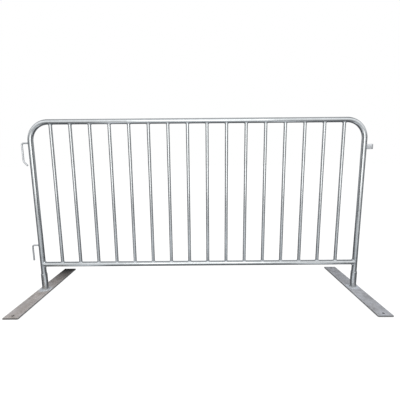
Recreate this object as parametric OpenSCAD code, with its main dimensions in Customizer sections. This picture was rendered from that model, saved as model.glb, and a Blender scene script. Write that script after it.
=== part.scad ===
// Crowd control barrier: a bent tube hoop with a bottom rail, upright infill
// bars, two hooks on one post, one receiver on the other, and two removable
// flat feet whose sockets hold the ends of the hoop's legs.
// Millimetres. +X runs along the barrier towards the receiver, +Z is up.
// The origin is on the ground, midway between the two posts.

/* [Panel] */
// Distance between the axes of the two posts
post_span = 2062; // [1860:2:2462]
// Height of the top of the hoop above the ground
overall_h = 1110; // [1000:5:1250]
// Outside diameter of the hoop tube and the bottom rail
tube_od = 32; // [30:1:35]
// Wall thickness of the hoop tube and the bottom rail
tube_wall = 2; // [1.2:0.1:3]
// Centreline radius of the hoop's two bends
bend_r = 116; // [90:1:117]
// Height of the bottom rail's axis above the ground
rail_z = 182; // [160:1:240]

/* [Infill bars] */
// Number of upright bars
bar_count = 16; // [12:1:20]
// Distance from a post's axis to the axis of the nearest bar
end_gap = 131; // [131:1:200]
// Outside diameter of a bar
bar_od = 20; // [14:1:25]
// Wall thickness of a bar
bar_wall = 1.5; // [1:0.1:2]

/* [Hooks and receiver] */
// Diameter of the hooks' round rod
rod_d = 10; // [8:1:12]
// Distance from the post's face to the axis of a hook's upright leg
hook_reach = 40; // [34:0.5:50]
// Distance from the top of the hoop down to the upper hook's arm
upper_hook_down = 142; // [142:1:260]
// Height of the lower hook's arm
lower_hook_z = 313; // [262:1:420]
// Length from the upper hook's arm to the start of its turned-in tail
upper_drop = 107; // [90:1:120]
// Length from the lower hook's arm to the foot of its upright leg
lower_drop = 103; // [70:1:120]
// Length of the upper hook's turned-in tail
tail_len = 31; // [15:1:45]
// Angle of the upper hook's tail from the upright
tail_angle = 40; // [15:1:44]
// Centreline radius of the hooks' bends
rod_bend_r = 12; // [10:1:16]
// Distance from the top of the hoop down to the receiver's centre
receiver_down = 179; // [170:1:280]
// Height of the receiver's strap
strap_h = 31; // [20:1:45]
// Thickness of the receiver's strap
strap_t = 4; // [3:0.5:4]
// Distance the receiver stands out from the post's face
receiver_reach = 38.5; // [36:0.5:54]
// Radius of the inside of the receiver's bend
receiver_r = 9.5; // [9:0.5:10]

/* [Feet] */
// Length of a foot plate
foot_len = 685; // [500:5:800]
// Width of a foot plate
foot_w = 85; // [70:1:120]
// Thickness of a foot plate
foot_t = 8; // [5:0.5:12]
// Outside diameter of a foot's socket
socket_od = 38; // [37.5:0.5:46]
// Gap all round between a leg and its socket
socket_gap = 0.1; // [0.05:0.05:0.6]
// Height of a socket above its plate
socket_h = 110; // [70:1:120]
// Diameter of the anchor holes
anchor_d = 14; // [10:1:18]
// Distance from a plate's end to its anchor hole's axis
anchor_inset = 24; // [16:1:60]

/* [Welds] */
// Leg length of the small fillet welds on the infill bars and the rods
weld_small = 4; // [3:0.5:5]
// Leg length of the fillet welds on the bottom rail and the sockets
weld_large = 6; // [4:0.5:8]

/* [Hidden] */
$fn = 64;

// The two ends of the barrier: hooks on the left, receiver on the right
left = -1;
right = 1;
sides = [left, right];

half_span = post_span / 2;
tube_r = tube_od / 2;
bar_r = bar_od / 2;
rod_r = rod_d / 2;
socket_r = socket_od / 2;
top_z = overall_h - tube_r;     // axis of the hoop's top run
bend_x = half_span - bend_r;    // centre of a hoop bend
bend_z = top_z - bend_r;

bar_pitch = (post_span - 2 * end_gap) / (bar_count - 1);
bar_x = [for (i = [0 : bar_count - 1]) (i - (bar_count - 1) / 2) * bar_pitch];

upper_hook_z = overall_h - upper_hook_down;
hook_x = -half_span - tube_r - hook_reach;  // axis of the hooks' upright legs
rod_bend_x = hook_x + rod_bend_r;           // centre of the hooks' bends
arm_end = 4;                                // from the post's axis to an arm's uncut end
tail_slim = 0.05;                           // the tail's radius is this much under the rod's
tail_overlap = 0.5;                         // how far the tail runs back into its bend

receiver_z = overall_h - receiver_down;
strap_base_z = receiver_z - strap_h / 2;
receiver_outer_r = receiver_r + strap_t;
eye_x = half_span + tube_r + receiver_reach - receiver_outer_r;

// How far the cutting shapes run past what they cut
overshoot = 1;
post_cut_reach = 60;
rail_cut_reach = 30;
weld_cut_reach = 40;

// Width of a rail end weld across the barrier
rail_weld_w = 28;

// Plan of a receiver weld: [x out from the strap's meeting with the post,
// distance outwards from the strap's outer face]
bead_plan = [[-5, -1], [5.5, -1], [5.5, 0.4], [-1.2, 3.4]];
bead_inset = 1;  // bead's ends, in from the strap's edges

galv = [0.74, 0.76, 0.77];
galv_plate = [0.60, 0.60, 0.60];
weld_grey = [0.66, 0.68, 0.69];

// A solid round bar along X at height z
module x_rod(radius, z, x_from, x_to) {
  translate([x_from, 0, z]) rotate([0, 90, 0]) cylinder(r = radius, h = x_to - x_from);
}

// A solid round upright at x
module z_rod(radius, x, z_from, z_to) {
  translate([x, 0, z_from]) cylinder(r = radius, h = z_to - z_from);
}

// The post's round, for cutting parts that meet it near height z
module post_cutter(side, z) {
  z_rod(tube_r, side * half_span, z - post_cut_reach, z + post_cut_reach);
}

// Cross-section of the hoop tube
module tube_section() {
  difference() {
    circle(r = tube_r);
    circle(r = tube_r - tube_wall);
  }
}

// One quarter bend of the hoop
module hoop_bend(side) {
  translate([side * bend_x, 0, bend_z])
    rotate([90, 0, 0])
      rotate([0, 0, side == right ? 0 : 90])
        rotate_extrude(angle = 90, $fn = 96)
          translate([bend_r, 0]) tube_section();
}

// One post, standing on its foot plate
module hoop_leg(side) {
  translate([side * half_span, 0, foot_t])
    linear_extrude(height = bend_z - foot_t) tube_section();
}

module hoop_tube() {
  color(galv) union() {
    for (side = sides) {
      hoop_leg(side);
      hoop_bend(side);
    }
    translate([-bend_x, 0, top_z]) rotate([0, 90, 0])
      linear_extrude(height = 2 * bend_x) tube_section();
  }
}

// The rail's ends are cut to the posts' round
module bottom_rail() {
  color(galv) difference() {
    x_rod(tube_r, rail_z, -half_span, half_span);
    x_rod(tube_r - tube_wall, rail_z, -half_span - overshoot, half_span + overshoot);
    for (side = sides) post_cutter(side, rail_z);
  }
}

// Each bar's ends are cut to the rails' round
module infill_bar(i) {
  x = bar_x[i];
  color(galv) difference() {
    z_rod(bar_r, x, rail_z, top_z);
    z_rod(bar_r - bar_wall, x, rail_z - overshoot, top_z + overshoot);
    for (z = [rail_z, top_z])
      x_rod(tube_r, z, x - rail_cut_reach, x + rail_cut_reach);
  }
}

// Fillet weld round a bar's end: a cone widening towards the rail, kept within
// a sleeve round it. z is the rail's axis; up is 1 where the rail is above the
// bar, -1 where it is below.
module bar_weld(x, z, up) {
  face_z = z - up * tube_r;
  neck_r = bar_r + 0.3;
  difference() {
    intersection() {
      translate([x, 0, face_z - up * weld_small * 1.25])
        rotate([up > 0 ? 0 : 180, 0, 0])
          cylinder(r1 = neck_r, r2 = neck_r + weld_small * 1.6, h = weld_small * 3.2);
      x_rod(tube_r + weld_small, z, x - rail_cut_reach, x + rail_cut_reach);
    }
    z_rod(bar_r, x, face_z - weld_cut_reach, face_z + weld_cut_reach);
    x_rod(tube_r, z, x - weld_cut_reach, x + weld_cut_reach);
  }
}

module bar_welds_top() {
  color(weld_grey) for (x = bar_x) bar_weld(x, top_z, 1);
}

module bar_welds_bottom() {
  color(weld_grey) for (x = bar_x) bar_weld(x, rail_z, -1);
}

// Welds over and under one end of the bottom rail
module rail_end_weld(side) {
  neck_r = tube_r + 0.5;
  cone_h = weld_large * 2;
  box = 2 * post_cut_reach;
  intersection() {
    difference() {
      translate([side * (half_span - tube_r - weld_large), 0, rail_z])
        rotate([0, side * 90, 0])
          cylinder(r1 = neck_r, r2 = neck_r + cone_h, h = cone_h);
      x_rod(tube_r, rail_z, -half_span, half_span);
      post_cutter(side, rail_z);
    }
    translate([side * half_span - box / 2, -rail_weld_w / 2, rail_z - box / 2])
      cube([box, rail_weld_w, box]);
  }
}

module rail_end_welds() {
  color(weld_grey) for (side = sides) rail_end_weld(side);
}

// Bend of a hook's rod about a centre at height z, swept from start_angle
module rod_bend(z, start_angle, angle) {
  translate([rod_bend_x, 0, z]) rotate([90, 0, 0]) rotate([0, 0, start_angle])
    rotate_extrude(angle = angle) translate([rod_bend_r, 0]) circle(r = rod_r);
}

// Arm and upright leg of a hook, from inside the post out to the leg's foot
module hook_body(z, drop) {
  x_rod(rod_r, z, rod_bend_x, -half_span - arm_end);
  rod_bend(z - rod_bend_r, 90, 90);
  z_rod(rod_r, hook_x, z - drop, z - rod_bend_r);
}

// The turned-in tail: a short bend, then a straight end
module hook_tail(z) {
  rod_bend(z, 180, tail_angle);
  translate([rod_bend_x, 0, z]) rotate([0, -tail_angle, 0])
    translate([-rod_bend_r, 0, -tail_len])
      cylinder(r = rod_r - tail_slim, h = tail_len + tail_overlap);
}

module upper_hook() {
  color(galv) difference() {
    union() {
      hook_body(upper_hook_z, upper_drop);
      hook_tail(upper_hook_z - upper_drop);
    }
    post_cutter(left, upper_hook_z);
  }
}

module lower_hook() {
  color(galv) difference() {
    hook_body(lower_hook_z, lower_drop);
    post_cutter(left, lower_hook_z);
  }
}

// Fillet weld round a hook's arm, widening towards the post
module hook_weld(z) {
  neck_r = rod_r + 0.4;
  difference() {
    translate([-half_span - tube_r - weld_small, 0, z]) rotate([0, 90, 0])
      cylinder(r1 = neck_r, r2 = neck_r + weld_small * 1.3, h = weld_small * 2);
    x_rod(rod_r, z, -half_span - 60, -half_span + 20);
    post_cutter(left, z);
  }
}

module hook_welds() {
  color(weld_grey) for (z = [upper_hook_z, lower_hook_z]) hook_weld(z);
}

// Plan of the receiver: a flat strap bent to a U, open towards the post
module receiver_plan() {
  leg_len = eye_x - half_span;
  difference() {
    union() {
      translate([eye_x, 0]) circle(r = receiver_outer_r);
      translate([half_span, -receiver_outer_r]) square([leg_len, 2 * receiver_outer_r]);
    }
    translate([eye_x, 0]) circle(r = receiver_r);
    translate([half_span - overshoot, -receiver_r])
      square([leg_len + overshoot, 2 * receiver_r]);
  }
}

module receiver_strap() {
  color(galv) difference() {
    translate([0, 0, strap_base_z]) linear_extrude(height = strap_h) receiver_plan();
    post_cutter(right, receiver_z);
  }
}

// Upright bead where a leg of the strap meets the post; y_side is the leg's side in Y
module receiver_weld(y_side) {
  meet_x = half_span + sqrt(tube_r * tube_r - receiver_outer_r * receiver_outer_r);
  difference() {
    translate([0, 0, strap_base_z + bead_inset])
      linear_extrude(height = strap_h - 2 * bead_inset)
        polygon([for (p = bead_plan) [meet_x + p[0], y_side * (receiver_outer_r + p[1])]]);
    translate([0, 0, strap_base_z]) linear_extrude(height = strap_h)
      translate([half_span, -receiver_outer_r]) square([60, 2 * receiver_outer_r]);
    post_cutter(right, receiver_z);
  }
}

module receiver_welds() {
  color(weld_grey) for (y_side = [-1, 1]) receiver_weld(y_side);
}

module foot_socket(side) {
  x = side * half_span;
  socket_top = foot_t + socket_h;
  color(galv) difference() {
    z_rod(socket_r, x, foot_t, socket_top);
    z_rod(tube_r + socket_gap, x, foot_t - overshoot, socket_top + overshoot);
  }
}

// Flat plate lying across the barrier, with an anchor hole near each end
module foot_plate(side) {
  x = side * half_span;
  color(galv_plate) difference() {
    translate([x - foot_w / 2, -foot_len / 2, 0]) cube([foot_w, foot_len, foot_t]);
    for (y_side = [-1, 1])
      translate([x, y_side * (foot_len / 2 - anchor_inset), -overshoot])
        cylinder(d = anchor_d, h = foot_t + 2 * overshoot);
  }
}

module socket_weld(side) {
  x = side * half_span;
  color(weld_grey) difference() {
    translate([x, 0, foot_t])
      cylinder(r1 = socket_r + weld_large, r2 = socket_r + 0.5, h = weld_large);
    z_rod(socket_r, x, foot_t - overshoot, foot_t + weld_cut_reach);
  }
}

hoop_tube();
bottom_rail();
infill_bar(0);  // infill_bar_01
infill_bar(1);  // infill_bar_02
infill_bar(2);  // infill_bar_03
infill_bar(3);  // infill_bar_04
infill_bar(4);  // infill_bar_05
infill_bar(5);  // infill_bar_06
infill_bar(6);  // infill_bar_07
infill_bar(7);  // infill_bar_08
infill_bar(8);  // infill_bar_09
infill_bar(9);  // infill_bar_10
infill_bar(10);  // infill_bar_11
infill_bar(11);  // infill_bar_12
infill_bar(12);  // infill_bar_13
infill_bar(13);  // infill_bar_14
infill_bar(14);  // infill_bar_15
infill_bar(15);  // infill_bar_16
upper_hook();
lower_hook();
receiver_strap();
bar_welds_top();
bar_welds_bottom();
rail_end_welds();
hook_welds();
receiver_welds();
foot_socket(left);  // left_foot_socket
foot_plate(left);  // left_foot_plate
socket_weld(left);  // left_socket_weld
foot_socket(right);  // right_foot_socket
foot_plate(right);  // right_foot_plate
socket_weld(right);  // right_socket_weld
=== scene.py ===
"""A galvanised steel barrier panel on two flat feet.

The panel stands in the XZ plane at y = 0, with the floor at z = 0. Its width runs along X
(left is -X), its front faces -Y, and the foot plates run along Y. A round-cornered hoop carries
a lower rail and sixteen upright bars, with two hooks on the left and a strap eye on the right.
All sizes are in metres.
"""
import math
import random

import bmesh
import bpy
from mathutils import Matrix, Vector, noise


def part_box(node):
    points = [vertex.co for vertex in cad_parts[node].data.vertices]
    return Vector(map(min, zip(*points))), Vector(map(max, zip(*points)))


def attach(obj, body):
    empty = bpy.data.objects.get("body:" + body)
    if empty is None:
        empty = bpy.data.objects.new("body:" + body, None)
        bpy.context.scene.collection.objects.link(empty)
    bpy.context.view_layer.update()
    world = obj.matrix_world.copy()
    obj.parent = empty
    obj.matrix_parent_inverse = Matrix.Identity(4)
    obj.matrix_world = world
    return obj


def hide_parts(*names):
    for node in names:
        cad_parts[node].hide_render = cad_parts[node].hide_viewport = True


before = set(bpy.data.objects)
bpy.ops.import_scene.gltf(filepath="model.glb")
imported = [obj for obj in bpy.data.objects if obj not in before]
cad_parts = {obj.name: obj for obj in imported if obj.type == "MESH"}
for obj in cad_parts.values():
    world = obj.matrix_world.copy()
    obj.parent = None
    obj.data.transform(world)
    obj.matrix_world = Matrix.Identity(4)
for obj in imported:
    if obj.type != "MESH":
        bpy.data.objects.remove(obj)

random.seed(7)
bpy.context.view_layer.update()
PI = math.pi

# ---------------------------------------------------------------- sizes
# hoop and lower rail
TUBE_R = 0.016
TUBE_WALL = 0.002
BEND_R = 0.116  # centreline radius of the hoop's corners
BEND_FLATTENING = 0.0005
hoop_lo, hoop_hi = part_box("hoop_tube")
TOP_Z = hoop_hi.z - TUBE_R
HALF = (hoop_hi.x - hoop_lo.x) / 2 - TUBE_R  # from the middle to a post's axis
BEND_X = HALF - BEND_R
BEND_Z = TOP_Z - BEND_R
RAIL_Z = sum(corner.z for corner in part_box("bottom_rail")) / 2
COPE_GAP = 0.00005

# infill bars
BAR_R = 0.010
BAR_WALL = 0.0015
BAR_X = [sum(corner.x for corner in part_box("infill_bar_%02d" % i)) / 2 for i in range(1, 17)]

# hooks
ROD_R = 0.005
ROD_BEND = 0.012
ROD_CHAMFER = 0.0008
ROD_SINK = 0.0012  # how far a rod's root enters the post
UPPER_DROP = 0.107
LOWER_DROP = 0.103
TAIL_ANGLE = math.radians(40)
TAIL_LENGTH = 0.031
upper_lo, upper_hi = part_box("upper_hook")
HOOK_X = upper_lo.x + ROD_R
UPPER_HOOK_Z = upper_hi.z - ROD_R
LOWER_HOOK_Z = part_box("lower_hook")[1].z - ROD_R

# receiver strap
EYE_R = 0.0095
STRAP_T = 0.004
STRAP_ARRIS = 0.0007
STRAP_GAP = 0.0002
EYE_OUTER_R = EYE_R + STRAP_T
EYE_MID_R = (EYE_OUTER_R + EYE_R) / 2
strap_lo, strap_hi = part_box("receiver_strap")
EYE_X = strap_hi.x - EYE_OUTER_R
STRAP_Z = (strap_lo.z + strap_hi.z) / 2
STRAP_HALF_H = (strap_hi.z - strap_lo.z) / 2

# feet
FOOT_T = 0.008
FOOT_ARRIS = 0.0009
SOCKET_R = 0.019
SOCKET_BORE = TUBE_R + 0.0001
SOCKET_H = 0.110
SOCKET_ARRIS = 0.0007
HOLE_R = 0.007
HOLE_FROM_END = 0.024

# weld beads
BEAD_STEPS = 10
BEAD_ROOT = 0.0006  # how far a bead's back sinks below the seam
BEAD_BULGE = 0.16
BAR_BEAD = 0.0033
RAIL_BEAD = 0.0052
SMALL_BEAD = 0.0036  # hooks and receiver
SOCKET_BEAD = 0.0052


# ---------------------------------------------------------------- mesh helpers
def make(name, verts, faces, material, node, body="panel", sharp=35.0):
    """Build a smooth-shaded object, with edges steeper than `sharp` degrees kept hard."""
    mesh = bpy.data.meshes.new(name)
    mesh.from_pydata([tuple(v) for v in verts], [], faces)
    mesh.validate()
    bm = bmesh.new()
    bm.from_mesh(mesh)
    bmesh.ops.remove_doubles(bm, verts=bm.verts, dist=1e-6)
    bmesh.ops.recalc_face_normals(bm, faces=bm.faces)
    limit = math.radians(sharp)
    for face in bm.faces:
        face.smooth = True
    for edge in bm.edges:
        if len(edge.link_faces) == 2 and edge.calc_face_angle(0) > limit:
            edge.smooth = False
    bm.to_mesh(mesh)
    bm.free()
    obj = bpy.data.objects.new(name, mesh)
    bpy.context.scene.collection.objects.link(obj)
    mesh.materials.append(material)
    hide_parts(node)
    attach(obj, body)


def angles(count):
    return [2 * PI * j / count for j in range(count)]


def ring_faces(rows, seg, base=0, closed=False, flip=False):
    """Quads between successive rings of `seg` vertices; closed joins the last ring to the first."""
    faces = []
    for k in range(rows if closed else rows - 1):
        this, after = base + k * seg, base + (k + 1) % rows * seg
        for j in range(seg):
            j2 = (j + 1) % seg
            a, b, c, d = this + j, this + j2, after + j2, after + j
            faces.append((a, d, c, b) if flip else (a, b, c, d))
    return faces


def end_caps(rows, seg):
    return [tuple(range(seg))[::-1], tuple(range((rows - 1) * seg, rows * seg))]


def hollow_faces(rows, seg):
    """Outer wall, inner wall and annular ends; the inner rings follow all the outer ones."""
    base = rows * seg
    faces = ring_faces(rows, seg) + ring_faces(rows, seg, base, flip=True)
    for k in (0, rows - 1):
        for j in range(seg):
            outer, outer2 = k * seg + j, k * seg + (j + 1) % seg
            quad = (outer, base + outer, base + outer2, outer2)
            faces.append(quad if k == 0 else quad[::-1])
    return faces


def sweep(path, radius_at, seg):
    """Rings square to a path in a plane of constant y; radius_at takes the row and the angle."""
    verts = []
    side = Vector((0, 1, 0))
    for k, point in enumerate(path):
        along = (path[min(k + 1, len(path) - 1)] - path[max(k - 1, 0)]).normalized()
        up = along.cross(side).normalized()
        for a in angles(seg):
            verts.append(point + (side * math.cos(a) + up * math.sin(a)) * radius_at(k, a))
    return verts


def arc(centre, radius, start, end, steps):
    """Points on an arc in the XZ plane, angles from +X towards +Z."""
    points = []
    for i in range(steps + 1):
        a = start + (end - start) * i / steps
        points.append(Vector((centre[0] + radius * math.cos(a), 0,
                              centre[1] + radius * math.sin(a))))
    return points


def line(start, end, steps):
    start, end = Vector(start), Vector(end)
    return [start.lerp(end, i / steps) for i in range(steps + 1)]


def joined(*parts):
    """One path from several, without the repeated points where they meet."""
    path = []
    for part in parts:
        for point in part:
            if not path or (point - path[-1]).length > 1e-6:
                path.append(point)
    return path


def tube_reach(y):
    """Distance from a main tube's axis to its surface, at the offset y across the panel."""
    return math.sqrt(max(TUBE_R ** 2 - y * y, 0))


def tangent(direction, normal):
    """The part of a direction that lies along the surface with this normal."""
    return (direction - normal * direction.dot(normal)).normalized()


# ---------------------------------------------------------------- shader graph helper
class Graph:
    """Short ways to add nodes; an input may be a plain value or another node's output."""

    def __init__(self, owner):
        owner.use_nodes = True
        self.nodes = owner.node_tree.nodes
        self.links = owner.node_tree.links
        self.nodes.clear()

    def node(self, kind, inputs=None, **settings):
        made = self.nodes.new("ShaderNode" + kind)
        for key, value in settings.items():
            setattr(made, key, value)
        for key, value in (inputs or {}).items():
            if isinstance(value, bpy.types.NodeSocket):
                self.links.new(value, made.inputs[key])
            else:
                made.inputs[key].default_value = value
        return made

    def out(self, kind, inputs=None, **settings):
        """Add a node and return its first output."""
        return self.node(kind, inputs, **settings).outputs[0]

    def math(self, operation, a, b=0.0, clamp=False):
        return self.out("Math", {0: a, 1: b}, operation=operation, use_clamp=clamp)

    def add(self, a, b, clamp=False):
        return self.math("ADD", a, b, clamp)

    def subtract(self, a, b, clamp=False):
        return self.math("SUBTRACT", a, b, clamp)

    def multiply(self, a, b, clamp=False):
        return self.math("MULTIPLY", a, b, clamp)

    def ramp(self, factor, stops):
        """Stops are (position, grey level or RGB)."""
        made = self.node("ValToRGB", {0: factor})
        elements = made.color_ramp.elements
        while len(elements) < len(stops):
            elements.new(0.5)
        for element, (position, tone) in zip(elements, stops):
            element.position = position
            element.color = (*tone, 1) if isinstance(tone, tuple) else (tone, tone, tone, 1)
        return made.outputs[0]

    def noise(self, vector, scale, detail=4, roughness=0.55, distortion=0.0):
        made = self.node("TexNoise", {"Scale": scale, "Detail": detail, "Roughness": roughness,
                                      "Distortion": distortion, "Vector": vector})
        return made.outputs["Fac"]

    def centred(self, value, span):
        """A 0 to 1 value shifted to lie evenly about zero, `span` wide."""
        return self.multiply(self.subtract(value, 0.5), span)

    def mix(self, factor, first, second, blend="MIX"):
        first, second = ((*c, 1) if isinstance(c, tuple) else c for c in (first, second))
        made = self.node("Mix", {0: factor, 6: first, 7: second},
                         data_type="RGBA", blend_type=blend)
        return made.outputs[2]

    def map_range(self, value, start, end, to_min=0.0, to_max=1.0, interpolation="LINEAR"):
        return self.out("MapRange", {"Value": value, "From Min": start, "From Max": end,
                                     "To Min": to_min, "To Max": to_max},
                        interpolation_type=interpolation)

    def smoothstep(self, value, start, end, to_max=1.0):
        return self.map_range(value, start, end, to_max=to_max, interpolation="SMOOTHSTEP")


# ---------------------------------------------------------------- galvanised materials
def scaled(colour, factor):
    return tuple(x * factor for x in colour)


def zinc_crystals(graph, position, scale):
    """A random level for each zinc crystal, with wavering crystal edges."""
    waver = graph.node("TexNoise", {"Scale": scale * 0.8, "Vector": position}).outputs["Color"]
    waver = graph.out("VectorMath", {0: waver, "Scale": 0.018}, operation="SCALE")
    place = graph.out("VectorMath", {0: position, 1: waver}, operation="ADD")
    cells = graph.node("TexVoronoi", {"Scale": scale, "Vector": place})
    return graph.out("SeparateColor", {0: cells.outputs["Color"]})


def plate_wear(graph, position, axes, colour, centre_x, rear):
    """Foot plate wear and painted light: returns the colour and the masks of the painted
    reflection, the rear darkening and the painted side shade.
    """
    # mottled surface
    mottle = graph.ramp(
        graph.noise(position, scale=9, detail=9, roughness=0.70, distortion=0.8),
        [(0.34, (0.72, 0.69, 0.67)), (0.5, (0.93, 0.905, 0.89)), (0.68, (1.0, 0.99, 1.0))])
    colour = graph.mix(1.0, colour, mottle, "MULTIPLY")
    # fine pale scratches in patches
    wave = graph.node("TexWave", {"Scale": 9.0, "Distortion": 5.0, "Detail": 1.5,
                                  "Vector": position}).outputs["Fac"]
    patches = graph.noise(position, scale=17, detail=6, roughness=0.7)
    scratch = graph.multiply(graph.ramp(wave, [(0.985, 0.0), (0.998, 1.0)]),
                             graph.ramp(patches, [(0.52, 0.0), (0.66, 1.0)]))
    colour = graph.mix(graph.multiply(scratch, 0.16), colour, (0.80, 0.80, 0.79))
    # darkening towards the rear end
    edge = graph.noise(position, scale=7, detail=6, roughness=0.65)
    depth = graph.add(axes["Y"], graph.centred(edge, span=0.12))
    rear_mask = graph.multiply(graph.map_range(depth, 0.03, 0.31), rear)
    colour = graph.mix(rear_mask, colour, (0.028, 0.027, 0.026))
    # worn bright arrises along the two long edges
    across = graph.subtract(axes["X"], centre_x)
    arris = graph.map_range(graph.math("ABSOLUTE", across), 0.0398, 0.0422)
    patches = graph.noise(position, scale=34, detail=6, roughness=0.7)
    worn = graph.multiply(arris, graph.ramp(patches, [(0.42, 0.0), (0.62, 1.0)]))
    colour = graph.mix(graph.multiply(worn, 0.5), colour, (0.78, 0.78, 0.77))
    # painted reflection: a pale bluish ring on the plate round the socket's weld, standing in for
    # the socket's reflection
    squares = graph.add(graph.multiply(across, across), graph.multiply(axes["Y"], axes["Y"]))
    edge = graph.noise(position, scale=30, detail=5, roughness=0.6)
    radius = graph.add(graph.math("SQRT", squares), graph.centred(edge, span=0.03))
    painted_reflection = graph.map_range(radius, 0.030, 0.046, to_min=1.0, to_max=0.0)
    colour = graph.mix(graph.multiply(painted_reflection, 0.75), colour, (0.66, 0.70, 0.73))
    # painted shade: the plate's upright sides are darkened, standing in for their shadow
    normal = graph.node("NewGeometry").outputs["True Normal"]
    upright = graph.node("SeparateXYZ", {0: normal}).outputs["Z"]
    side_shade = graph.ramp(graph.math("ABSOLUTE", upright), [(0.30, 1.0), (0.80, 0.0)])
    colour = graph.mix(graph.multiply(side_shade, 0.88), colour, (0.07, 0.068, 0.066))
    return colour, painted_reflection, rear_mask, side_shade


def galvanised(name, base, dark, rough, spangle, grime, metal=0.92, plate=None, weld=False):
    """Zinc-coated steel. `spangle` is the crystal scale, `grime` the strength of the dirt, and
    `plate` holds a foot plate's centre_x and the strength of its rear darkening."""
    material = bpy.data.materials.new(name)
    graph = Graph(material)
    position = graph.node("TexCoord").outputs["Object"]
    axes = graph.node("SeparateXYZ", {0: position}).outputs

    # base tone in broad patches and crystals
    broad = graph.noise(position, scale=2.3, detail=6, roughness=0.6, distortion=0.4)
    colour = graph.mix(graph.ramp(broad, [(0.36, 0.0), (0.66, 1.0)]), base, scaled(base, 0.86))
    crystal = zinc_crystals(graph, position, spangle)
    tone = graph.ramp(crystal, [(0.0, 0.95), (0.5, 1.0), (1.0, 1.04)])
    colour = graph.mix(1.0, colour, tone, "MULTIPLY")
    # run marks down the steel
    stretched = graph.out("Mapping", {"Scale": (60, 60, 3.5), "Vector": position})
    runs = graph.noise(stretched, scale=1.0, detail=5, roughness=0.6, distortion=0.2)
    colour = graph.mix(graph.ramp(runs, [(0.52, 0.0), (0.76, 0.35)]), colour,
                       scaled(base, 0.72))
    # white storage bloom
    blotch = graph.noise(position, scale=5.5, detail=8, roughness=0.7, distortion=0.6)
    speckle = graph.noise(position, scale=40, detail=5, roughness=0.6)
    bloom = graph.multiply(graph.ramp(blotch, [(0.56, 0.0), (0.74, 1.0)]),
                           graph.ramp(speckle, [(0.4, 0.1), (0.7, 1.0)]))
    colour = graph.mix(graph.multiply(bloom, 0.55 if plate else 0.28), colour,
                       (0.76, 0.77, 0.77))
    # patchy dirt, fading out above the ground
    low = graph.map_range(axes["Z"], 0.0, 0.26, to_min=1.0, to_max=0.0)
    patches = graph.noise(position, scale=22, detail=9, roughness=0.68, distortion=0.5)
    dirt = graph.multiply(graph.ramp(patches, [(0.42, 0.0), (0.72, 1.0)]), low)
    colour = graph.mix(graph.multiply(dirt, grime), colour, dark)
    if plate:
        colour, painted_reflection, rear_mask, side_shade = plate_wear(graph, position, axes, colour, **plate)
    if weld:
        heat = graph.ramp(graph.noise(position, scale=90, detail=4, roughness=0.6),
                          [(0.4, 0.0), (0.7, 1.0)])
        colour = graph.mix(graph.multiply(heat, 0.4), colour, dark)

    # roughness: varies by crystal, raised by bloom and dirt
    spread = 0.05 if plate else 0.02
    roughness = graph.add(graph.ramp(crystal, [(0.0, rough - spread), (1.0, rough + spread)]),
                          graph.multiply(bloom, 0.12))
    cloud = graph.noise(position, scale=28, detail=6, roughness=0.6)
    roughness = graph.add(roughness, graph.centred(cloud, span=0.16 if plate else 0.06))
    roughness = graph.add(roughness, graph.multiply(dirt, 0.22), clamp=True)
    # metallic: lowered by dirt and bloom
    dulling = graph.add(graph.multiply(dirt, grime * 0.7), graph.multiply(bloom, 0.18))
    metallic = graph.subtract(metal, dulling, clamp=True)
    surface = {}
    if plate:
        # the painted reflection ring is also made smoother
        roughness = graph.subtract(roughness, graph.multiply(painted_reflection, 0.16), clamp=True)
        roughness = graph.add(roughness, graph.multiply(rear_mask, 0.3), clamp=True)
        # no metal on the painted-shade sides or on the darkened rear
        for mask in (side_shade, rear_mask):
            metallic = graph.multiply(metallic, graph.subtract(1.0, mask), clamp=True)
        # less specular towards the darkened rear
        away_from_rear = graph.subtract(1.0, graph.multiply(rear_mask, 0.9))
        surface["Specular IOR Level"] = graph.multiply(away_from_rear, 0.25)

    # bump: fine grain over soft waves
    coarse = plate or weld
    grain = graph.noise(position, scale=110, detail=6 if coarse else 2,
                        roughness=0.65 if coarse else 0.5)
    waves = graph.noise(position, scale=16, detail=3, roughness=0.5)
    bump = graph.out("Bump", {
        "Strength": 0.6 if plate else 0.4,
        "Distance": 0.00022 if plate else (0.00014 if weld else 0.00005),
        "Height": graph.add(graph.multiply(grain, 0.8), graph.multiply(waves, 0.9)),
    })
    surface.update({"Base Color": colour, "Roughness": roughness, "Metallic": metallic,
                    "Normal": bump})
    graph.node("OutputMaterial", {0: graph.out("BsdfPrincipled", surface)})
    return material


TUBE_ZINC = galvanised("galvanised_tube", base=(0.550, 0.566, 0.562), dark=(0.20, 0.19, 0.18),
                       rough=0.18, spangle=55, grime=0.30, metal=0.96)
BAR_ZINC = galvanised("galvanised_bar", base=(0.580, 0.597, 0.593), dark=(0.21, 0.20, 0.19),
                      rough=0.20, spangle=75, grime=0.26, metal=0.96)
ROD_ZINC = galvanised("galvanised_rod", base=(0.62, 0.63, 0.63), dark=(0.22, 0.21, 0.20),
                      rough=0.34, spangle=80, grime=0.3)
PLATE_ZINC = {
    "left": galvanised("galvanised_plate_left", base=(0.67, 0.63, 0.595),
                       dark=(0.17, 0.14, 0.11), rough=0.50, spangle=34, grime=0.6, metal=0.40,
                       plate={"centre_x": -HALF, "rear": 1.0}),
    "right": galvanised("galvanised_plate_right", base=(0.62, 0.64, 0.665),
                        dark=(0.18, 0.175, 0.17), rough=0.50, spangle=34, grime=0.5, metal=0.40,
                        plate={"centre_x": HALF, "rear": 0.30}),
}
WELD_ZINC = galvanised("galvanised_weld", base=(0.60, 0.625, 0.64), dark=(0.24, 0.23, 0.22),
                       rough=0.36, spangle=120, grime=0.4, weld=True)


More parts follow.
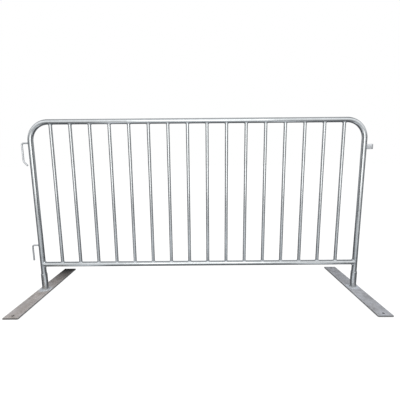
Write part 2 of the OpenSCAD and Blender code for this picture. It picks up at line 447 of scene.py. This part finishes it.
# ---------------------------------------------------------------- hoop, rail and bars
def hoop():
    """One bent hollow tube, open at the feet."""
    seg = 64
    path = joined(
        line((-HALF, 0, FOOT_T), (-HALF, 0, BEND_Z), 60),
        arc((-BEND_X, BEND_Z), BEND_R, PI, PI / 2, 40),
        line((-BEND_X, 0, TOP_Z), (BEND_X, 0, TOP_Z), 90),
        arc((BEND_X, BEND_Z), BEND_R, PI / 2, 0, 40),
        line((HALF, 0, BEND_Z), (HALF, 0, FOOT_T), 60),
    )

    def outer_radius(k, a):
        """Slightly flattened in the bends."""
        dx = abs(path[k].x) - BEND_X
        dz = path[k].z - BEND_Z
        if dx > 0 and dz > 0:
            middle = math.sin(2 * math.atan2(dz, dx)) ** 2
            return TUBE_R - BEND_FLATTENING * middle * max(0.0, -math.cos(2 * a))
        return TUBE_R

    verts = sweep(path, outer_radius, seg) + sweep(path, lambda k, a: TUBE_R - TUBE_WALL, seg)
    make("hoop", verts, hollow_faces(len(path), seg), TUBE_ZINC, "hoop_tube")


def lower_rail():
    """Hollow rail with both ends cut to the posts' round."""
    seg, steps = 64, 80
    verts = []
    for radius in (TUBE_R, TUBE_R - TUBE_WALL):
        for k in range(steps + 1):
            for a in angles(seg):
                y = radius * math.cos(a)
                reach = HALF - tube_reach(y) - COPE_GAP
                verts.append(Vector((reach * (2 * k / steps - 1), y,
                                     RAIL_Z + radius * math.sin(a))))
    make("rail_lower", verts, hollow_faces(steps + 1, seg), TUBE_ZINC, "bottom_rail")


def infill_bar(number, x):
    """Hollow upright with its ends cut to the round of the rail and the hoop's top."""
    seg, steps = 40, 36
    verts = []
    for radius in (BAR_R, BAR_R - BAR_WALL):
        for k in range(steps + 1):
            for a in angles(seg):
                y = radius * math.sin(a)
                cope = tube_reach(y) + COPE_GAP
                bottom, top = RAIL_Z + cope, TOP_Z - cope
                verts.append(Vector((x + radius * math.cos(a), y,
                                     bottom + (top - bottom) * k / steps)))
    make("bar_%02d" % number, verts, hollow_faces(steps + 1, seg), BAR_ZINC,
         "infill_bar_%02d" % number)


hoop()
lower_rail()
for i, x in enumerate(BAR_X, start=1):
    infill_bar(i, x)


# ---------------------------------------------------------------- weld beads
def ripple_phases(points, pitch):
    """Phase of the ripple at each point, from the length run along the seam."""
    run = 0.0
    phases = []
    for k, point in enumerate(points):
        if k:
            run += (point - points[k - 1]).length
        phases.append(run / pitch * PI)
    return phases


def bead_section(point, leg_a, leg_b, width, outward, lift):
    """Rounded face from leg to leg, then one vertex behind the seam."""
    section = []
    for j in range(BEAD_STEPS + 1):
        t = j / BEAD_STEPS
        section.append(point + leg_a * (width * (1 - t)) + leg_b * (width * t)
                       + outward * lift(t))
    section.append(point - outward * BEAD_ROOT)
    return section


def bead(stations, size, seed, closed=True, ripple=0.0022):
    """A rippled fillet along a seam. Each station is a point and two unit directions that lie
    along the two surfaces, away from the seam."""
    count = len(stations)
    verts = []
    phases = ripple_phases([station[0] for station in stations], ripple)
    for k, ((point, leg_a, leg_b), phase) in enumerate(zip(stations, phases)):
        waver = noise.noise(point * 90 + Vector((seed, 0, 0)))
        width = size * (1.0 + 0.10 * math.sin(phase) + 0.10 * waver)
        if not closed:
            # taper the two ends
            inset = min(k, count - 1 - k) / (count - 1)
            if inset < 0.12:
                width *= min(1.0, 0.35 + math.sqrt(inset * 9) * 0.65)

        def lift(t):
            ripple_shape = 1 + 0.35 * math.sin(phase + 1.2 * math.cos(PI * t))
            return width * BEAD_BULGE * math.sin(PI * t) * ripple_shape

        outward = (leg_a + leg_b).normalized()
        verts += bead_section(point, leg_a, leg_b, width, outward, lift)
    seg = BEAD_STEPS + 2
    faces = ring_faces(count, seg, closed=closed)
    if not closed:
        faces += end_caps(count, seg)
    return verts, faces


def make_welds(name, beads, node, body="panel"):
    """Join several beads into one object."""
    verts, faces = [], []
    for bead_verts, bead_faces in beads:
        base = len(verts)
        verts += bead_verts
        faces += [tuple(index + base for index in face) for face in bead_faces]
    make(name, verts, faces, WELD_ZINC, node, body, sharp=60)


def bar_bead(x, tube_z, up, seed):
    """Round a bar's end; up is 1 where the tube lies above the bar, -1 where it lies below."""
    stations = []
    for a in angles(84):
        radial = Vector((math.cos(a), math.sin(a), 0))
        y = BAR_R * radial.y
        reach = tube_reach(y)
        normal = Vector((0, y, -up * reach)).normalized()
        stations.append((Vector((x + BAR_R * radial.x, y, tube_z - up * reach)),
                         Vector((0, 0, -up)), tangent(radial, normal)))
    return bead(stations, BAR_BEAD, seed)


def rail_bead(side, seed):
    """Round a coped rail end; thinner where the two tubes run flush at front and back."""
    points, slopes = [], []
    for a in angles(120):
        y = TUBE_R * math.cos(a) * 0.985
        reach = tube_reach(y)
        rise = math.copysign(reach, math.sin(a)) if abs(math.sin(a)) > 1e-6 else 0
        points.append(Vector((side * (HALF - reach), y, RAIL_Z + rise)))
        slopes.append(math.sin(a))
    verts = []
    phases = ripple_phases(points, 0.0026)
    for point, slope, phase in zip(points, slopes, phases):
        post_normal = Vector((-side * tube_reach(point.y), point.y, 0)).normalized()
        rail_normal = Vector((0, point.y, point.z - RAIL_Z)).normalized()
        waver = noise.noise(point * 70 + Vector((seed, 0, 0)))
        width = RAIL_BEAD * (0.62 + 0.38 * abs(slope))
        width *= 1 + 0.08 * math.sin(phase) + 0.1 * waver
        verts += bead_section(
            point, Vector((-side, 0, 0)), Vector((0, 0, 1 if slope >= 0 else -1)), width,
            (post_normal + rail_normal).normalized(),
            lambda t: BEAD_ROOT + width * BEAD_BULGE * math.sin(PI * t))
    return verts, ring_faces(len(points), BEAD_STEPS + 2, closed=True)


def hook_bead(root_z, seed):
    """Round a hook's root, on the left post's outer side."""
    stations = []
    for a in angles(60):
        radial = Vector((0, math.cos(a), math.sin(a)))
        y = ROD_R * radial.y
        reach = tube_reach(y)
        normal = Vector((-reach, y, 0)).normalized()
        stations.append((Vector((-HALF - reach, y, root_z + ROD_R * radial.z)),
                         Vector((-1, 0, 0)), tangent(radial, normal)))
    return bead(stations, SMALL_BEAD, seed)


make_welds("welds_bar_top", [bar_bead(x, TOP_Z, 1, i * 3.1) for i, x in enumerate(BAR_X)],
           "bar_welds_top")
make_welds("welds_bar_bottom",
           [bar_bead(x, RAIL_Z, -1, 60 + i * 3.7) for i, x in enumerate(BAR_X)],
           "bar_welds_bottom")
make_welds("welds_rail", [rail_bead(-1, seed=3.0), rail_bead(1, seed=9.0)], "rail_end_welds")
make_welds("welds_hook", [hook_bead(UPPER_HOOK_Z, seed=1.0), hook_bead(LOWER_HOOK_Z, seed=5.0)],
           "hook_welds")


# ---------------------------------------------------------------- hooks
def hook_path(root_z, drop, drop_steps):
    """Out from the left post, round a bend and straight down."""
    bend_x = HOOK_X + ROD_BEND
    root_x = -HALF - TUBE_R + ROD_SINK
    return joined(
        line((root_x, 0, root_z), (bend_x, 0, root_z), 8),
        arc((bend_x, root_z - ROD_BEND), ROD_BEND, PI / 2, PI, 18),
        line((HOOK_X, 0, root_z - ROD_BEND), (HOOK_X, 0, root_z - drop), drop_steps),
    )


def hook(name, path, node):
    """Round rod with a chamfered free end."""
    seg = 40
    end = path[-1]
    along = (end - path[-2]).normalized()
    points = path[:-1] + [end - along * ROD_CHAMFER, end]
    rows = len(points)
    verts = sweep(points, lambda k, a: ROD_R - ROD_CHAMFER if k == rows - 1 else ROD_R, seg)
    make(name, verts, ring_faces(rows, seg) + end_caps(rows, seg), ROD_ZINC, node)


# the upper hook ends in a tail that slants back towards the post
upper_path = joined(
    hook_path(UPPER_HOOK_Z, UPPER_DROP, 20),
    arc((HOOK_X + ROD_BEND, UPPER_HOOK_Z - UPPER_DROP), ROD_BEND, PI, PI + TAIL_ANGLE, 14),
)
tail_start = upper_path[-1]
tail = Vector((math.sin(TAIL_ANGLE), 0, -math.cos(TAIL_ANGLE))) * TAIL_LENGTH
upper_path = joined(upper_path, line(tail_start, tail_start + tail, 12))
hook("hook_upper", upper_path, "upper_hook")
hook("hook_lower", hook_path(LOWER_HOOK_Z, LOWER_DROP, 24), "lower_hook")


# ---------------------------------------------------------------- receiver
def receiver():
    """Flat strap bent to a U on the right post, with rounded arrises."""
    leg_steps, bend_steps = 10, 32
    leg_start = HALF + tube_reach(EYE_MID_R) + STRAP_GAP
    # stations: a point on the strap's mid line and the outward normal there
    stations = []
    for k in range(leg_steps + 1):
        x = leg_start + (EYE_X - leg_start) * k / leg_steps
        stations.append((Vector((x, -EYE_MID_R, 0)), Vector((0, -1, 0))))
    for k in range(1, bend_steps):
        a = -PI / 2 + PI * k / bend_steps
        normal = Vector((math.cos(a), math.sin(a), 0))
        stations.append((Vector((EYE_X, 0, 0)) + normal * EYE_MID_R, normal))
    for k in range(leg_steps + 1):
        x = EYE_X + (leg_start - EYE_X) * k / leg_steps
        stations.append((Vector((x, EYE_MID_R, 0)), Vector((0, 1, 0))))
    # cross-section: offsets through the strap's thickness and up its height
    section = []
    for sign_out, sign_up, turn in ((1, 1, 0), (-1, 1, 90), (-1, -1, 180), (1, -1, 270)):
        for step in range(4):
            a = math.radians(turn + 30 * step)
            section.append(
                (sign_out * (STRAP_T / 2 - STRAP_ARRIS) + STRAP_ARRIS * math.cos(a),
                 sign_up * (STRAP_HALF_H - STRAP_ARRIS) + STRAP_ARRIS * math.sin(a)))
    verts = [point + normal * out + Vector((0, 0, STRAP_Z + up))
             for point, normal in stations for out, up in section]
    rows, seg = len(stations), len(section)
    make("receiver", verts, ring_faces(rows, seg) + end_caps(rows, seg), ROD_ZINC,
         "receiver_strap", sharp=28)


def receiver_bead(side):
    """Upright bead along the strap's outer face; side is -1 at the front, 1 at the back."""
    count, inset = 34, 0.0015
    reach = tube_reach(EYE_OUTER_R)
    normal = Vector((reach, side * EYE_OUTER_R, 0)).normalized()
    leg_b = tangent(Vector((0, side, 0)), normal)
    stations = []
    for k in range(count):
        z = STRAP_Z - STRAP_HALF_H + inset + 2 * (STRAP_HALF_H - inset) * k / (count - 1)
        stations.append((Vector((HALF + reach, side * EYE_OUTER_R, z)), Vector((1, 0, 0)), leg_b))
    return bead(stations, SMALL_BEAD, 20 + side, closed=False)


receiver()
make_welds("welds_receiver", [receiver_bead(-1), receiver_bead(1)], "receiver_welds")


# ---------------------------------------------------------------- feet
def socket(side, name):
    """Short sleeve round the post's foot, with the weld round its base."""
    seg, centre_x = 72, side * HALF
    body = name + "_foot"
    top, arris = FOOT_T + SOCKET_H, SOCKET_ARRIS
    # profile: radius, height
    profile = [(SOCKET_BORE, FOOT_T), (SOCKET_R, FOOT_T)]
    profile += [(SOCKET_R, FOOT_T + (top - arris - FOOT_T) * k / 14) for k in range(1, 15)]
    profile += [(SOCKET_R - arris * 0.3, top - arris * 0.3), (SOCKET_R - arris, top),
                (SOCKET_BORE + 0.0004, top), (SOCKET_BORE, top - 0.0004)]
    verts = [Vector((centre_x + radius * math.cos(a), radius * math.sin(a), z))
             for radius, z in profile for a in angles(seg)]
    make("socket_" + name, verts, ring_faces(len(profile), seg, closed=True), TUBE_ZINC,
         name + "_foot_socket", body)

    stations = []
    for a in angles(150):
        radial = Vector((math.cos(a), math.sin(a), 0))
        stations.append((Vector((centre_x, 0, FOOT_T)) + radial * SOCKET_R,
                         Vector((0, 0, 1)), radial))
    make_welds("welds_socket_" + name, [bead(stations, SOCKET_BEAD, 40 + side, ripple=0.0027)],
               name + "_socket_weld", body)


def bridge(bm, loops, flip=False):
    """Quads between successive closed loops of vertices."""
    for low, high in zip(loops, loops[1:]):
        for j in range(len(low)):
            j2 = (j + 1) % len(low)
            a, b, c, d = low[j], low[j2], high[j2], high[j]
            bm.faces.new((a, d, c, b) if flip else (a, b, c, d))


def foot_plate(side, name):
    """Flat bar with eased arrises and a hole near each end."""
    node = name + "_foot_plate"
    lo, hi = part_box(node)
    half_width, half_length = (hi.x - lo.x) / 2, (hi.y - lo.y) / 2
    centre_x = side * HALF
    hole_y = hi.y - HOLE_FROM_END
    bm = bmesh.new()

    def outline(inset, z):
        x0, x1 = centre_x - half_width + inset, centre_x + half_width - inset
        y0, y1 = -half_length + inset, half_length - inset
        corners = [(x0, y0), (x1, y0), (x1, y1), (x0, y1)]
        loop = []
        for i, steps in enumerate((8, 56, 8, 56)):
            (ax, ay), (bx, by) = corners[i], corners[(i + 1) % 4]
            for k in range(steps):
                loop.append(bm.verts.new((ax + (bx - ax) * k / steps,
                                          ay + (by - ay) * k / steps, z)))
        return loop

    def circle(centre_y, radius, z):
        return [bm.verts.new((centre_x + radius * math.cos(a),
                              centre_y + radius * math.sin(a), z)) for a in angles(48)]

    arris = FOOT_ARRIS
    # inset, height
    outlines = [outline(inset, z) for inset, z in (
        (arris, 0.0), (0, arris), (0, FOOT_T - arris),
        (arris * 0.3, FOOT_T - arris * 0.3), (arris, FOOT_T))]
    bridge(bm, outlines)
    holes = []
    for end in (-1, 1):
        # radius, height
        hole = [circle(end * hole_y, radius, z) for radius, z in (
            (HOLE_R + 0.0004, 0.0), (HOLE_R, 0.0004),
            (HOLE_R, FOOT_T - 0.0005), (HOLE_R + 0.0005, FOOT_T))]
        bridge(bm, hole, flip=True)
        holes.append(hole)
    # bottom and top faces, with the holes left open
    for level in (0, -1):
        edges = []
        for loop in (outlines[level], holes[0][level], holes[1][level]):
            for j in range(len(loop)):
                edges.append(bm.edges.get((loop[j], loop[(j + 1) % len(loop)])))
        bmesh.ops.triangle_fill(bm, use_beauty=True, use_dissolve=False, edges=edges)
    bm.verts.index_update()
    verts = [vert.co.copy() for vert in bm.verts]
    faces = [tuple(vert.index for vert in face.verts) for face in bm.faces]
    bm.free()
    make("plate_" + name, verts, faces, PLATE_ZINC[name], node, name + "_foot",
         sharp=30)


for side, name in ((-1, "left"), (1, "right")):
    socket(side, name)
    foot_plate(side, name)


# ---------------------------------------------------------------- floor
def floor_material():
    """White to the camera with contact shadows; a grey floor with glowing areas to the rest."""
    material = bpy.data.materials.new("floor_pale")
    graph = Graph(material)
    position = graph.node("TexCoord").outputs["Object"]
    axes = graph.node("SeparateXYZ", {0: position}).outputs
    # glow in front of the panel, weaker far out to the sides
    across = graph.math("ABSOLUTE", axes["X"])
    forward = graph.map_range(axes["Y"], -0.02, -0.9, to_max=0.80)
    wide = graph.multiply(
        forward, graph.subtract(1.0, graph.smoothstep(across, 0.98, 1.35, to_max=0.85)))
    # stronger glow close in front of each side
    inside = graph.subtract(1.0, graph.smoothstep(across, 0.95, 1.04))
    band = graph.multiply(graph.smoothstep(across, 0.62, 0.84), inside)
    near = graph.multiply(band, graph.smoothstep(graph.multiply(axes["Y"], -1.0), 0.01, 0.10))
    glow = graph.out("Emission", {0: (0.90, 0.94, 1.0, 1), 1: graph.math("MAXIMUM", wide, near)})
    grey = graph.out("BsdfDiffuse", {0: (0.15, 0.153, 0.16, 1)})
    lit = graph.out("AddShader", {0: grey, 1: glow})
    # the floor fades out for the steel's reflections, where the backdrop takes over
    distance = graph.node("VectorMath", {0: position}, operation="LENGTH").outputs["Value"]
    reflected = graph.out("MixShader", {0: graph.map_range(distance, 1.3, 2.2), 1: lit,
                                        2: graph.out("BsdfTransparent")})
    # seen by the camera
    occlusion = graph.node("AmbientOcclusion", {"Distance": 0.014}, samples=8).outputs["AO"]
    contact = graph.ramp(occlusion, [(0.30, 0.06), (0.82, 1)])
    seen = graph.out("AddShader", {
        0: graph.out("Emission", {0: contact, 1: 0.99}),
        1: graph.out("BsdfDiffuse", {0: (0.10, 0.10, 0.10, 1)}),
    })
    camera_ray = graph.node("LightPath").outputs["Is Camera Ray"]
    graph.node("OutputMaterial", {
        0: graph.out("MixShader", {0: camera_ray, 1: reflected, 2: seen})})
    return material


bpy.ops.mesh.primitive_plane_add(size=60, location=(0, 0, 0))
floor = bpy.context.object
floor.name = "floor"
floor.data.materials.append(floor_material())


# ---------------------------------------------------------------- world
# Tones by azimuth, from 0 straight in front (-Y) to 1 straight behind, near and below the horizon
AZIMUTH_LOW = [
    (0.0, (0.52, 0.528, 0.538)), (0.07, (0.56, 0.568, 0.58)), (0.16, (0.62, 0.628, 0.64)),
    (0.20, (0.26, 0.266, 0.274)), (0.25, (0.03, 0.032, 0.035)), (0.38, (0.03, 0.032, 0.035)),
    (0.46, (0.26, 0.266, 0.274)), (0.56, (0.28, 0.286, 0.294)), (0.72, (0.20, 0.207, 0.215)),
    (1.0, (0.28, 0.287, 0.295)),
]
# The same, higher up
AZIMUTH_HIGH = [
    (0.0, (0.62, 0.63, 0.65)), (0.28, (0.66, 0.67, 0.69)), (0.40, (0.34, 0.345, 0.36)),
    (0.70, (0.22, 0.225, 0.24)), (1.0, (0.28, 0.287, 0.30)),
]
# Tones by elevation, from 0 straight down to 1 straight up
ELEVATION = [
    (0.0, (0.10, 0.10, 0.105)), (0.30, (0.16, 0.162, 0.17)), (0.37, (0.42, 0.424, 0.43)),
    (0.46, (0.62, 0.62, 0.625)), (0.53, (0.62, 0.62, 0.62)), (0.59, (0.95, 0.95, 0.95)),
    (0.69, (0.95, 0.95, 0.95)), (0.78, (0.46, 0.465, 0.47)), (1.0, (0.30, 0.305, 0.31)),
]


def studio_world():
    """White to the camera; for reflections bright in front, dark to the sides, dim behind."""
    world = bpy.data.worlds.new("studio")
    bpy.context.scene.world = world
    graph = Graph(world)
    direction = graph.node("TexCoord").outputs["Generated"]
    axes = graph.node("SeparateXYZ", {0: direction}).outputs
    azimuth = graph.math("ARCTAN2", axes["X"], graph.multiply(axes["Y"], -1.0))
    azimuth = graph.math("DIVIDE", graph.math("ABSOLUTE", azimuth), PI)
    elevation = graph.math("DIVIDE", graph.math("ARCSINE", axes["Z"]), PI)
    elevation = graph.add(elevation, 0.5)
    around = graph.mix(graph.smoothstep(elevation, 0.53, 0.58),
                       graph.ramp(azimuth, AZIMUTH_LOW), graph.ramp(azimuth, AZIMUTH_HIGH))
    tone = graph.mix(1.0, around, graph.ramp(elevation, ELEVATION), "MULTIPLY")
    tone = graph.mix(1.0, tone, (0.02, 0.021, 0.024), "ADD")
    graph.node("OutputWorld", {0: graph.out("MixShader", {
        0: graph.node("LightPath").outputs["Is Camera Ray"],
        1: graph.out("Background", {0: tone, 1: 2.6}),
        2: graph.out("Background", {0: (1, 1, 1, 1), 1: 1.0}),
    })})


studio_world()


# ---------------------------------------------------------------- lights and camera
def area_light(name, location, target, width, height, power):
    light = bpy.data.lights.new(name, "AREA")
    light.energy = power
    light.shape = "RECTANGLE"
    light.size = width
    light.size_y = height
    obj = bpy.data.objects.new(name, light)
    bpy.context.scene.collection.objects.link(obj)
    obj.location = location
    obj.rotation_mode = "QUATERNION"
    obj.rotation_quaternion = (Vector(target) - Vector(location)).to_track_quat("-Z", "Y")


area_light("front", location=(0.0, -2.05, 1.25), target=(0, 0, 1.25),
           width=1.9, height=1.8, power=15)
area_light("overhead", location=(0, -0.6, 5.0), target=(0, 0, 0),
           width=6.0, height=6.0, power=32)


def add_camera(location, yaw, pitch, roll):
    """Look along +Y, turned by yaw, tipped down by pitch and rolled; angles in degrees."""
    yaw, pitch, roll = math.radians(yaw), math.radians(pitch), math.radians(roll)
    forward = Vector((math.sin(yaw) * math.cos(pitch), math.cos(yaw) * math.cos(pitch),
                      -math.sin(pitch)))
    level = Vector((math.cos(yaw), -math.sin(yaw), 0))
    upright = level.cross(forward)
    right = level * math.cos(roll) + upright * math.sin(roll)
    up = -level * math.sin(roll) + upright * math.cos(roll)
    data = bpy.data.cameras.new("camera")
    data.sensor_width = 36.0
    data.lens = 24.5889
    data.shift_x = -0.0105
    data.shift_y = 0.002375
    data.clip_start = 0.05
    data.clip_end = 100
    camera = bpy.data.objects.new("camera", data)
    bpy.context.scene.collection.objects.link(camera)
    turn = Matrix((right, up, -forward)).transposed()
    camera.matrix_world = Matrix.Translation(location) @ turn.to_4x4()
    bpy.context.scene.camera = camera


add_camera(location=(0.0419, -1.7245, 0.8656), yaw=-0.089, pitch=8.827, roll=-0.46)
bpy.context.scene.view_settings.view_transform = "Standard"
